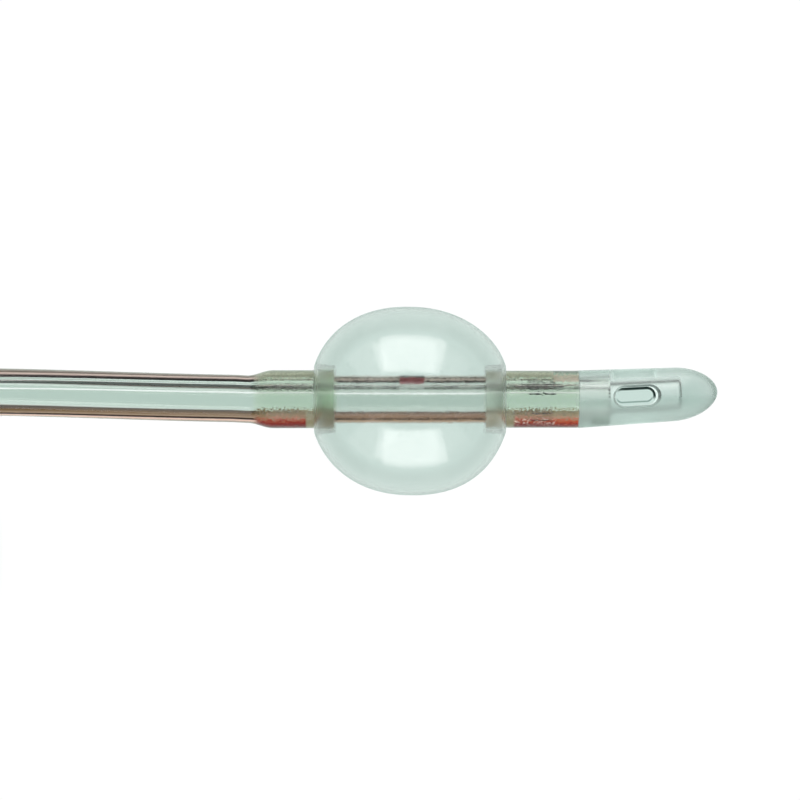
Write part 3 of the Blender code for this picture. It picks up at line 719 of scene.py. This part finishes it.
def stripes_and_painted_light_finish():
    """X-ray stripes, a painted shade line over the inflation lumen and a painted highlight along the drainage
    lumen, all inside the tube's wall; the stripes' tones also hold painted highlights and painted shade.

    The layout's v is the angle from the top in turns, with half a turn more on the far side. Numbers that
    differ along the tube are given for the free shaft, the cuffs, the balloon and, last, next to the tip.
    """
    finish = Finish("x_ray_stripe_and_painted_light", (0.2, 0.1, 0.08), 0.6)
    u, v = finish.layout()
    cuffs = bonded_stretch(finish, u)
    balloon = tube_stretch(finish, u, FOLD_REACH, -FOLD_REACH, edge=0.0005)
    tip_end = tube_stretch(finish, u, FRONT_CUFF_REACH, FRONT_CUFF_REACH - TIP_GLUE_LENGTH, edge=0.0006)
    bare_glue = tube_stretch(finish, u, BARE_GLUE_REACH, -BARE_GLUE_REACH, edge=0.0008)
    notch = tube_stretch(finish, u, NOTCH_END, NOTCH_START, edge=0.0004)

    def local(free, glued, filmed, at_tip=None):
        """A number that moves from one value to another along the tube."""
        total = free
        at_tip = glued if at_tip is None else at_tip
        for mask, move in ((cuffs, glued - free), (balloon, filmed - free), (tip_end, at_tip - glued)):
            if move:
                total = finish.plus(finish.times(mask, move), total)
        return total

    def local_turn(*degrees):
        """The same for an angle."""
        return local(*(angle / 360 for angle in degrees))

    # Grain in the glue and on the film breaks the stripes' edges up into specks.
    _, grain = finish.uneven(1, -0.5, 0.5, finish.drawn_out(4200, 6500, 6500))
    at = finish.plus(v, finish.times(grain, local(0.0015, 0.055, 0.014)))
    free, glued, bare, tip_glue, filmed = (
        finish.round_tones(at, tones)
        for tones in (FREE_TONES, GLUED_TONES, BARE_GLUE_TONES, TIP_GLUE_TONES, BALLOON_TONES)
    )
    glued = finish.blend(tip_end, finish.blend(bare_glue, glued, bare), tip_glue)
    # Painted glints of bubbles in the front cuff's glue, from the end of the lumen's plug to the bare glue.
    plug_end = FRONT_PLUG_START + FRONT_PLUG_LENGTH
    _, specks = finish.uneven(1, -1.4, 1.6, finish.drawn_out(2200, 4200, 4200))
    painted_glints = finish.times(
        finish.stretch(at, 56 / 360, 69 / 360, edge=0.012),
        tube_stretch(finish, u, plug_end, BARE_GLUE_REACH, edge=0.0006),
        finish.most(specks, 0.0),
    )
    glued = finish.blend(painted_glints, glued, (1.0, 0.86, 0.80))
    colour = finish.blend(balloon, finish.blend(cuffs, free, glued), filmed)
    # Painted highlight: a pale, faintly glowing line along the far side of the drainage lumen.
    painted_highlight = finish.stretch(v, local_turn(195, 194, 192), local_turn(199, 198, 196.4), LINE_EDGE)
    painted_highlight = finish.times(painted_highlight, local(0.8, 0.6, 0.85))
    finish.give("Base Color", finish.blend(painted_highlight, colour, (0.96, 1.0, 0.98)))
    finish.glow(painted_highlight, (0.32, 0.40, 0.38))
    near = finish.stretch(at, local_turn(31, 30, 36), local_turn(100, 116, 100), local(0.012, 0.026, 0.012))
    far_start, far_end = local_turn(230.5, 242, 227, 230), local_turn(280, 296, 280, 247)
    far = finish.stretch(at, far_start, far_end, local(LINE_EDGE, 0.012, LINE_EDGE))
    # The painted shade line over the inflation lumen is whole on the free shaft, in blots elsewhere and cut at
    # the notch.
    lumen = finish.stretch(at, local_turn(212.5, 208.5, 209), local_turn(217.5, 214.5, 213.5), LINE_EDGE)
    _, blots = finish.uneven(1, -0.6, 1.0, finish.drawn_out(900, 1500, 1500))
    unbroken = finish.less(1.0, finish.most(cuffs, balloon))
    shown = finish.times(finish.most(unbroken, blots, 0.1), finish.less(1.0, notch))
    finish.give("Alpha", finish.most(near, far, finish.times(lumen, shown), painted_highlight))
    return finish.material


def bared_finish():
    """The stripe laid bare at the bottom of the cut in the shaft's wall."""
    finish = Finish("bared_stripe", (0.30, 0.11, 0.11), 0.35)
    _, value = finish.uneven(1800)
    finish.give("Base Color", finish.blend(value, shade(118, 40, 44), shade(140, 66, 66)))
    return finish.material


def air_shade_finish():
    """Trapped air seen edge-on, in painted shade: near black, with a glint here and there."""
    finish = Finish("trapped_air_painted_shade", (0.01, 0.014, 0.013), 0.3)
    _, value = finish.uneven(1500, 0.15, 0.5)
    finish.give("Roughness", value)
    return finish.material


# The balloon's finishes


def film_finish():
    """Stretched silicone film: clear, a little uneven, with a fine grain of darker specks."""
    finish = Finish("stretched_film", WHITE, 0.03, clear=True)
    height, value = finish.uneven(2600, 0.07, 0.10)
    finish.relief(height, strength=0.22, distance=0.00004)
    finish.give("Roughness", value)
    _, grain = finish.uneven(4500)
    finish.give("Base Color", finish.blend(grain, (0.95, 0.965, 0.955), WHITE))
    finish.lets_lamps_through(0.99, 1.0, 0.995)
    return finish.material


def fold_finish():
    """The sleeve's folded ends: frosted and creased round the rear cuff, brown with glue on the near side."""
    finish = Finish("folded_film", (0.8, 0.86, 0.79), 0.5, ior=1.25, clear=True)
    height, crease = finish.uneven(1, 0.0, 1.0, finish.drawn_out(5200, 500, 500))
    finish.relief(height, strength=0.5, distance=0.00004)
    x, y, _ = finish.split(finish.place)
    front = finish.stretch(x, BALLOON_X, BEYOND, edge=0.004)
    near = finish.stretch(y, -BEYOND, -0.0016, edge=0.0036)
    rim = finish.stretch(maths(finish.tree, "ABSOLUTE", y), CUFF_RADIUS - 0.0004, BEYOND, edge=0.0014)
    frosted = finish.blend(crease, (0.84, 0.96, 0.82), (0.95, 1.0, 0.93))
    browned = finish.blend(crease, (0.44, 0.43, 0.35), (0.58, 0.56, 0.47))
    rear = finish.blend(near, frosted, browned)
    clear = finish.most(front, finish.times(rim, 0.8))
    finish.give("Base Color", finish.blend(clear, rear, WHITE))
    matt = finish.plus(0.46, finish.times(crease, 0.12))
    smooth = finish.most(rim, finish.times(front, 0.25))
    finish.give("Roughness", finish.times(matt, finish.less(1.0, finish.times(smooth, 0.7))))
    finish.lets_lamps_through(0.85, 0.9, 0.85)
    return finish.material


# The tip's finishes


def eye_measures(finish):
    """A point's place at the tip, in metres: along and across from the eye's middle, up from the tip's middle
    line, and its distance from the straight line between the middles of the eye's two round ends."""
    x, y, z = finish.split(finish.place)
    along = finish.less(x, JOINT_X)
    across = finish.less(y, finish.times(along, math.tan(TIP_TILT)))
    up = finish.less(z, AXIS_HEIGHT)
    middle = finish.less(along, (EYE_START + EYE_LENGTH / 2) * math.cos(TIP_TILT))
    past = finish.less(maths(finish.tree, "ABSOLUTE", middle), (EYE_LENGTH - EYE_WIDTH) / 2)
    past = finish.most(past, 0.0)
    squares = finish.plus(finish.times(past, past), finish.times(across, across))
    return middle, across, up, maths(finish.tree, "SQRT", squares)


def tip_silicone():
    """The moulded tip: almost colourless, with the soft haze that a blasted mould leaves, painted shade at its
    rim, near side and upper eye's edge, and painted light in the lower eye's wall.
    """
    finish = Finish("moulded_silicone", WHITE, 0.12, clear=True)
    height, value = finish.uneven(1400, 0.16, 0.24)
    finish.relief(height, strength=0.12, distance=0.00003)
    middle, across, up, apart = eye_measures(finish)
    # The underside and the near side carry more of the mould's haze.
    under = finish.stretch(up, -BEYOND, -0.0006, edge=0.0016)
    near = finish.stretch(across, -BEYOND, -0.0004, edge=0.0010)
    hazed = finish.most(finish.times(under, 0.40), finish.times(near, 0.26))
    finish.give("Roughness", finish.plus(value, hazed))
    # Painted shade: the upper eye's edge is dark, most of all on its far side.
    wall = finish.stretch(apart, 0.98 * EYE_WIDTH / 2, EYE_WIDTH / 2 + 0.8 * EYE_FLARE, edge=0.00008)
    mouth = finish.stretch(up, TIP_LUMEN_RADIUS * 0.9, BEYOND, edge=0.0002)
    leaning = finish.plus(across, finish.times(middle, 0.35))
    far = finish.stretch(leaning, 0.0006, BEYOND, edge=0.0006)
    shadow = finish.times(wall, mouth, finish.plus(finish.times(far, 0.7), 0.28))
    # Painted shade: the tip darkens where its surface turns away from the ray, and on its near side.
    edge = finish.stretch(finish.slant(), 0.42, 2.0, edge=0.30)
    edge_and_near_shade = finish.blend(finish.most(edge, finish.times(near, 0.7)), WHITE, (0.68, 0.76, 0.73))
    finish.give("Base Color", finish.blend(shadow, edge_and_near_shade, (0.01, 0.02, 0.02)))
    # Painted light: the lower eye's wall glows faintly.
    throat = finish.stretch(apart, -BEYOND, EYE_WIDTH / 2 + EYE_FLARE + 0.0001, edge=0.0002)
    below = finish.stretch(up, -BEYOND, -0.0012, edge=0.0006)
    finish.glow(finish.times(below, throat), (0.20, 0.23, 0.22))
    finish.lets_lamps_through(0.96, 0.98, 0.97)
    finish.absorbs(58, 46, 50)
    return finish.material


def gel_finish():
    """Clear gel: smooth, with slow waves.

    Where it climbs the eye's wall it has painted shade: dark on the far side, with a dark line on the near
    side.
    """
    finish = Finish("clear_gel", WHITE, 0.03, clear=True)
    height, value = finish.uneven(500, 0.02, 0.06)
    finish.relief(height, strength=0.1, distance=0.00003)
    finish.give("Roughness", value)
    middle, across, _, apart = eye_measures(finish)
    # Painted shade where the gel climbs the eye's wall.
    foot = EYE_WIDTH / 2 - GEL_CLIMB
    climb = finish.stretch(apart, foot, BEYOND, edge=0.00016)
    leaning = finish.plus(across, finish.times(middle, 0.25))
    far = finish.times(climb, finish.stretch(leaning, 0.0003, BEYOND, edge=0.0007))
    line = finish.stretch(apart, foot - 0.0002, foot, edge=0.00012)
    near = finish.times(line, finish.stretch(across, -BEYOND, -0.0003, edge=0.0006))
    lined = finish.blend(near, (0.93, 0.96, 0.95), (0.42, 0.50, 0.48))
    finish.give("Base Color", finish.blend(far, lined, (0.01, 0.03, 0.025)))
    finish.lets_lamps_through(0.98, 1.0, 0.99)
    return finish.material


# Finishes of the solids that keep their CAD shape


def solid_finish(name, dark, light, roughness, scale):
    """A moulded solid: two near shades in soft clouds, uneven gloss and a fine moulded grain."""
    finish = Finish(name, light, roughness)
    _, cloud = finish.uneven(scale)
    finish.give("Base Color", finish.blend(cloud, dark, light))
    height, value = finish.uneven(8 * scale, 0.8 * roughness, 1.3 * roughness)
    finish.relief(height, strength=0.12, distance=0.00003)
    finish.give("Roughness", value)
    return finish.material


def hatched_finish(name, dark, light, roughness):
    """Glue full of drawn-out bubbles: dark dashes along the piece on a pale ground."""
    finish = Finish(name, light, roughness)
    _, dashes = finish.uneven(1, -0.3, 1.4, finish.drawn_out(1500, 5200, 5200))
    finish.give("Base Color", finish.blend(dashes, dark, light))
    _, value = finish.uneven(2600, 0.8 * roughness, 1.3 * roughness)
    finish.give("Roughness", value)
    return finish.material


# The tube


def make_tube(clear, stripe, bared, air):
    """The shaft with its cuffs bonded on: outside, two lumens, end faces, and the lines inside its wall, some
    of them painted shade and a painted highlight.
    """
    line, radius = shaft_rings()
    side, up = twisted(line)
    u = run_along(line) / RUN_SCALE
    # Distances from the balloon's middle count in the straight head alone.
    head = u <= along_tube(-REAR_REACH) + 0.00001
    x = np.where(head, line[:, 0] - BALLOON_X, -BEYOND)
    around = round_angles(TUBE_SIDES)
    outside = rings(line, side, up, radius[:, None] - notch_depth(x, around), around)
    toward = math.cos(INFLATION_LUMEN_ANGLE) * side + math.sin(INFLATION_LUMEN_ANGLE) * up
    drain_line = line - DRAIN_LUMEN_OFFSET * toward
    drain = rings(drain_line, side, up, DRAIN_LUMEN_RADIUS, round_angles(LUMEN_SIDES))
    # The inflation lumen ends in lids, one ring short of the spigot's end and three short of the rear end.
    inner = slice(1, -3)
    bore_line = (line + INFLATION_LUMEN_OFFSET * toward)[inner]
    bore = rings(bore_line, side[inner], up[inner], INFLATION_LUMEN_RADIUS, round_angles(FINE_SIDES))
    grids = [
        grid(outside, lie=layout_of(u, around / math.tau)),
        inner_grid(drain, inward=True),
        inner_grid(bore, inward=True),
        inner_grid(lid(bore[0])),
        inner_grid(lid(bore[-1])),
    ]
    for end in (0, -1):
        mouth = rings(drain_line[[end]], side[[end]], up[[end]], DRAIN_LUMEN_RADIUS, around)[0]
        grids.append(inner_grid(np.stack([outside[end], mouth])))

    def ribbon(where, reach, hand, walls=STRIPE_WALLS, slot=1):
        """A ribbon in the wall along the part of the tube that a mask picks out."""
        return ribbon_grid(line[where], side[where], up[where], u[where], reach, hand, walls, slot)

    walled = radius > SPIGOT_RADIUS + 0.0001
    far = (FAR_STRIPE_START, STRIPE_END)
    grids += [
        ribbon(walled, (NEAR_STRIPE_START, STRIPE_END), -1),
        # This ribbon carries the painted highlight and the painted shade line over the lumens.
        ribbon(walled, (PAINTED_LIGHT_RIBBON_START, PAINTED_LIGHT_RIBBON_END), 1),
        ribbon(walled & (x > NOTCH_END + NOTCH_GAP), far, 1),
        ribbon(walled & (x <= NOTCH_START - NOTCH_GAP), far, 1),
        ribbon((x > NOTCH_START) & (x < NOTCH_END), BARED_ANGLES, 1, BARED_WALLS, slot=2),
        *air_lines(),
    ]
    return build("catheter_tube", grids, [clear, stripe, bared, air]), line


def inner_grid(points, inward=False):
    """A sheet of an inner wall, whose layout lies outside every stretch of the outside."""
    return grid(points, inward=inward, lie=np.full((*points.shape[:2], 2), -BEYOND))


def notch_depth(x, around):
    """Depth of the cut over the inflation lumen: full inside its length and width, none outside."""
    long = (x > NOTCH_START) & (x < NOTCH_END)
    wide = np.abs(around - INFLATION_LUMEN_ANGLE) < NOTCH_WIDTH / 2 / SHAFT_RADIUS
    return NOTCH_DEPTH * (long[:, None] & wide[None])


def ribbon_grid(line, side, up, u, reach, hand, walls, slot):
    """A curved ribbon round a line: a closed section between two angles from the top and two radii.

    Its half thickness is that of the wall times (1 - (2 s - 1)^4)^(1/2), with s the share of the way across.
    """
    share = np.linspace(0, 1, RIBBON_STEPS)
    thin = (1 - (2 * share - 1) ** 4) ** 0.5
    mean, depth = sum(walls) / 2, (walls[1] - walls[0]) / 2
    share = np.concatenate([share, share[::-1][1:]])
    radii = np.concatenate([mean + depth * thin, (mean - depth * thin)[::-1][1:]])
    angle = reach[0] + (reach[1] - reach[0]) * share
    points = line[:, None] + radii[:, None] * spokes(side, up, math.pi / 2 - hand * angle)
    v = angle / math.tau + (0.5 if hand > 0 else 0)
    return grid(points, slot=slot, lie=layout_of(u, v))


def air_lines():
    """Hair-thin voids under the cuffs, tapered at both ends, drawn as solid pieces in painted shade.

    Each swells and thins as 0.6 + 0.4 sin(k x) sin(1.7 k x), with x its distance from the balloon's middle.
    """
    grids = []
    for start, end, most, angle, hand, kink in AIR_LINES:
        x = np.linspace(start, end, AIR_RINGS)
        share = np.linspace(0, 1, AIR_RINGS)
        past = share - AIR_KINK_PLACE
        bend = angle + kink * np.exp(-((past / AIR_KINK_WIDTH) ** 2)) * np.sign(past + 0.001)
        y = hand * AIR_DEPTH * np.sin(bend)
        z = AXIS_HEIGHT + AIR_DEPTH * np.cos(bend)
        swell = 0.6 + 0.4 * np.sin(AIR_SWELL * x) * np.sin(1.7 * AIR_SWELL * x)
        radius = most * swell * np.clip(np.minimum(share, 1 - share) * 12, 0.05, 1)
        hair = straight_rings(BALLOON_X + x, radius, AIR_SIDES, y, z)
        grids += [grid(g, slot=3) for g in (hair, lid(hair[0]), lid(hair[-1]))]
    return grids


# The balloon


def balloon_outline(inset, stop_radius):
    """Half a superellipse, x = a cos(t)^(2/n), r = b sin(t)^(2/n), from the middle to the stop radius."""
    half_length, radius = BALLOON_HALF_LENGTH - inset, BALLOON_RADIUS - inset
    power = 2 / BALLOON_FULLNESS
    stop = math.asin((stop_radius / radius) ** (1 / power))
    t = np.linspace(math.pi / 2, stop, BALLOON_STEPS)
    return half_length * np.cos(t) ** power, radius * np.sin(t) ** power


def make_balloon(film, fold):
    """The filled balloon: a thin shell turned about the shaft, folded back over each cuff at its ends."""
    outer_x, outer_r = balloon_outline(0, NECK_RADIUS)
    inner_x, inner_r = balloon_outline(BALLOON_WALL, NECK_RADIUS + BALLOON_WALL)
    low = CUFF_RADIUS + FOLD_GAP
    high = low + BALLOON_WALL
    turn = outer_x[-1]
    fold_x = [turn, turn - BALLOON_WALL / 2, FOLD_REACH, FOLD_REACH, turn - 1.5 * BALLOON_WALL, inner_x[-1]]
    fold_r = [outer_r[-1], low, low, high, high + BALLOON_WALL / 2, inner_r[-1]]
    grids = []
    for end in (1, -1):
        for x, r, slot in ((outer_x, outer_r, 0), (fold_x, fold_r, 1), (inner_x, inner_r, 0)):
            grids.append(grid(sagging(end * np.array(x), np.array(r)), slot))
    balloon = build("balloon", grids, [film, fold])
    turn_out(balloon.data)
    return balloon


def sagging(x, r):
    """Rings of the balloon; away from its necks they shift by sag + slant * x towards -Y."""
    free = ease((r - NECK_RADIUS) / (0.6 * BALLOON_RADIUS))
    return straight_rings(BALLOON_X + x, r, BALLOON_SIDES, middle_y=-free * (BALLOON_SAG + BALLOON_SLANT * x))


# The tip


def make_tip(clear):
    """The moulded tip: a turned body that leans to +Y, with a socket, a blind lumen and two eyes.

    Its nose is a quarter superellipse, x = a cos(t)^(2/n), r = b sin(t)^(2/n).
    """
    nose_start = TIP_LENGTH - TIP_NOSE_LENGTH
    t = np.linspace(0, math.pi / 2, NOSE_STEPS)
    power = 2 / TIP_NOSE_FULLNESS
    nose_x = nose_start + TIP_NOSE_LENGTH * np.cos(t) ** power
    nose_r = TIP_NOSE_RADIUS * np.sin(t) ** power
    body_x = np.linspace(nose_start, TIP_BASE_START, BODY_STEPS)[1:]
    body_r = TIP_BASE_RADIUS + (TIP_NOSE_RADIUS - TIP_BASE_RADIUS) * body_x / nose_start
    seat = SPIGOT_RADIUS + BOND_CLEARANCE
    seat_depth = SPIGOT_LENGTH + BOND_CLEARANCE
    corner = TIP_LUMEN_CHAMFER
    shoulder = np.linspace(0, math.pi / 2, 8)[1:]
    lumen_x = [*np.linspace(seat_depth, TIP_LUMEN_DEPTH - corner, LUMEN_STEPS)]
    lumen_x += list(TIP_LUMEN_DEPTH - corner + corner * np.sin(shoulder))
    lumen_r = [*np.full(LUMEN_STEPS, TIP_LUMEN_RADIUS)]
    lumen_r += list(TIP_LUMEN_RADIUS - corner + corner * np.cos(shoulder))
    x = np.array([*nose_x, *body_x, TIP_BASE_START, seat_depth, *lumen_x, TIP_LUMEN_DEPTH])
    r = np.array([*nose_r, *body_r, seat, seat, *lumen_r, 0])
    body = straight_rings(JOINT_X + x, r, TURNED_SIDES, middle_y=math.tan(TIP_TILT) * x)
    tip = build("moulded_tip", [grid(body)], [clear])
    carve(tip, eye_cutter(clear))
    return tip


def eye_rings(heights, half):
    """Rings of the eye's outline, two half circles joined by straight sides, at heights from the tip's line.

    A point lies half the straight side towards its own end, and from there half width * (cos a, sin a).
    """
    c, s = math.cos(TIP_TILT), math.sin(TIP_TILT)
    middle = EYE_START + EYE_LENGTH / 2
    a = round_angles(EYE_SIDES) + math.pi / EYE_SIDES
    along = np.sign(np.cos(a)) * (EYE_LENGTH - EYE_WIDTH) / 2 + half[:, None] * np.cos(a)
    across = half[:, None] * np.sin(a)
    x = JOINT_X + middle * c + along * c - across * s
    y = middle * s + along * s + across * c
    return np.stack([x, y, np.broadcast_to(AXIS_HEIGHT + heights[:, None], x.shape)], axis=-1)


def eye_slab(name, heights, half, clear):
    """A closed piece with the eye's outline."""
    walls = eye_rings(heights, half)
    return build(name, [grid(walls), grid(lid(walls[0])), grid(lid(walls[-1]))], [clear])


def eye_cutter(clear):
    """A slot through both walls; it widens by flare * (height / wall)^2 towards each surface."""
    past = 1.3 * TIP_BASE_RADIUS
    heights = np.linspace(-past, past, EYE_STEPS)
    rise = np.clip((np.abs(heights) - TIP_LUMEN_RADIUS) / (TIP_NOSE_RADIUS - TIP_LUMEN_RADIUS), 0, 1.5)
    return eye_slab("eye_cutter", heights, EYE_WIDTH / 2 + EYE_FLARE * rise**2, clear)


def make_gel(clear):
    """A thin film of clear gel that stands across the lower eye, as it does once the tip has been wetted."""
    top = -TIP_LUMEN_RADIUS - GEL_DEPTH
    eye_slab("eye_gel", np.array([top, top - GEL_THICKNESS]), np.full(2, EYE_WIDTH / 2 - GEL_GAP), clear)


def carve(obj, cutter):
    """Takes the cutter out of the piece, keeps the result as the piece's own mesh and removes the cutter."""
    turn_out(obj.data)
    turn_out(cutter.data)
    boolean = obj.modifiers.new("cut", "BOOLEAN")
    boolean.object = cutter
    boolean.solver = "EXACT"
    cut = bpy.data.meshes.new_from_object(obj.evaluated_get(bpy.context.evaluated_depsgraph_get()))
    obj.modifiers.clear()
    obj.data = cut
    cut.set_sharp_from_angle(angle=SHARP)
    bpy.data.objects.remove(cutter, do_unlink=True)


def turn_out(mesh):
    """Faces of a closed shell all outwards."""
    work = bmesh.new()
    work.from_mesh(mesh)
    bmesh.ops.recalc_face_normals(work, faces=work.faces)
    work.to_mesh(mesh)
    work.free()


# The studio


def area_light(name, azimuth, zenith, width, height, radiance):
    """A softbox facing the object from a direction; its power is radiance times pi times its area."""
    data = bpy.data.lights.new(name, "AREA")
    data.shape = "RECTANGLE"
    data.size = width
    data.size_y = height
    data.energy = radiance * math.pi * width * height
    data.color = LAMP_COLOUR
    light = bpy.data.objects.new(name, data)
    level = math.sin(zenith)
    away = (level * math.cos(azimuth), level * math.sin(azimuth), math.cos(zenith))
    light.location = [SOFTBOX_DISTANCE * k for k in away]
    light.rotation_euler = Vector(away).to_track_quat("Z", "Y").to_euler()
    light.visible_camera = False
    bpy.context.scene.collection.objects.link(light)


# What the table sends through the object, by the slant at which a ray meets it, from 0 (straight down) to 1
# (level). It stands for the studio's surroundings, which clear walls bend into view.
THROUGH_TONES = [
    (0.0, (0.66, 0.80, 0.75)),
    (0.06, (0.70, 0.83, 0.78)),
    (0.134, (0.85, 0.95, 0.91)),
    (0.234, (0.62, 0.72, 0.68)),
    (0.357, (0.50, 0.57, 0.54)),
    (0.50, (0.28, 0.33, 0.31)),
    (0.64, (0.09, 0.11, 0.10)),
    (0.74, (0.09, 0.105, 0.10)),
    (0.86, (0.25, 0.29, 0.275)),
    (1.0, (0.50, 0.56, 0.54)),
]


def table_finish():
    """White to the eye, with a painted green-grey contact shadow close to the object, and green-grey as seen
    through the object.
    """
    material = bpy.data.materials.new("table_top")
    material.use_nodes = True
    tree = material.node_tree
    tree.nodes.remove(tree.nodes["Principled BSDF"])
    # Painted contact shadow: where the object is close, the table's seen colour turns green-grey.
    near = add_node(tree, "AmbientOcclusion", {"Distance": CONTACT_REACH}, samples=8)
    contact_shadow_tone = ramp(tree, near.outputs["AO"], [(0.0, shade(208, 228, 222)), (0.9, WHITE)])
    seen = add_node(tree, "Emission", {"Color": contact_shadow_tone, "Strength": 1.02})
    slant = add_node(tree, "LayerWeight", {"Blend": 0.5})
    through = add_node(tree, "Emission", {"Color": ramp(tree, slant.outputs["Facing"], THROUGH_TONES)})
    by_ray(tree, "Is Camera Ray", through.outputs[0], seen.outputs[0], tree.nodes["Material Output"])
    return material


def make_table():
    """One large square just under the object."""
    signs = ((-1, -1), (1, -1), (1, 1), (-1, 1))
    corners = [(x * TABLE_REACH, y * TABLE_REACH, -TABLE_DROP) for x, y in signs]
    mesh = bpy.data.meshes.new("table")
    mesh.from_pydata(corners, [], [(0, 1, 2, 3)])
    mesh.materials.append(table_finish())
    table = bpy.data.objects.new("table", mesh)
    bpy.context.scene.collection.objects.link(table)


def make_world():
    """The room: it lights the object a little, and the camera sees it pale."""
    world = bpy.data.worlds.new("studio")
    bpy.context.scene.world = world
    world.use_nodes = True
    tree = world.node_tree
    light = tree.nodes["Background"]
    feed(tree, light.inputs["Color"], (0.14, 0.16, 0.155))
    seen = add_node(tree, "Background", {"Color": (0.95, 0.96, 0.96)})
    by_ray(tree, "Is Camera Ray", light.outputs[0], seen.outputs[0], tree.nodes["World Output"])


UNEVENNESS = unevenness_group()
STRETCH = stretch_group()

make_camera()
bpy.context.scene.view_settings.view_transform = "Standard"
make_table()
make_world()
for hand, side_name in ((1, "far"), (-1, "near")):
    for box, (azimuth, *rest) in SOFTBOXES.items():
        area_light(f"{side_name}_{box}", hand * azimuth, *rest)

tube, tube_line = make_tube(tube_silicone(), stripes_and_painted_light_finish(), bared_finish(), air_shade_finish())
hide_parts("shaft", "rear_bond")

balloon = make_balloon(film_finish(), fold_finish())
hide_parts("balloon_sleeve")

tip = make_tip(tip_silicone())
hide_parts("tip")
make_gel(gel_finish())

FINISHES = {
    "drainage_funnel": solid_finish("milky_silicone", (0.84, 0.90, 0.87), (0.90, 0.95, 0.92), 0.30, 90),
    "valve_housing": solid_finish("coloured_plastic", (0.50, 0.035, 0.03), (0.60, 0.05, 0.04), 0.28, 120),
    "valve_inlet": solid_finish("white_plastic", (0.80, 0.80, 0.77), (0.88, 0.88, 0.86), 0.28, 120),
    "valve_membrane": solid_finish("check_rubber", (0.05, 0.055, 0.06), (0.09, 0.095, 0.10), 0.5, 200),
    "front_lumen_plug": hatched_finish("adhesive", shade(110, 130, 122), shade(226, 242, 234), 0.35),
    "rear_lumen_plug": solid_finish("rear_adhesive", shade(150, 165, 158), shade(190, 204, 196), 0.35, 900),
}
for node, finish in FINISHES.items():
    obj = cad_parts[node]
    for place in range(len(obj.material_slots)):
        obj.material_slots[place].material = finish
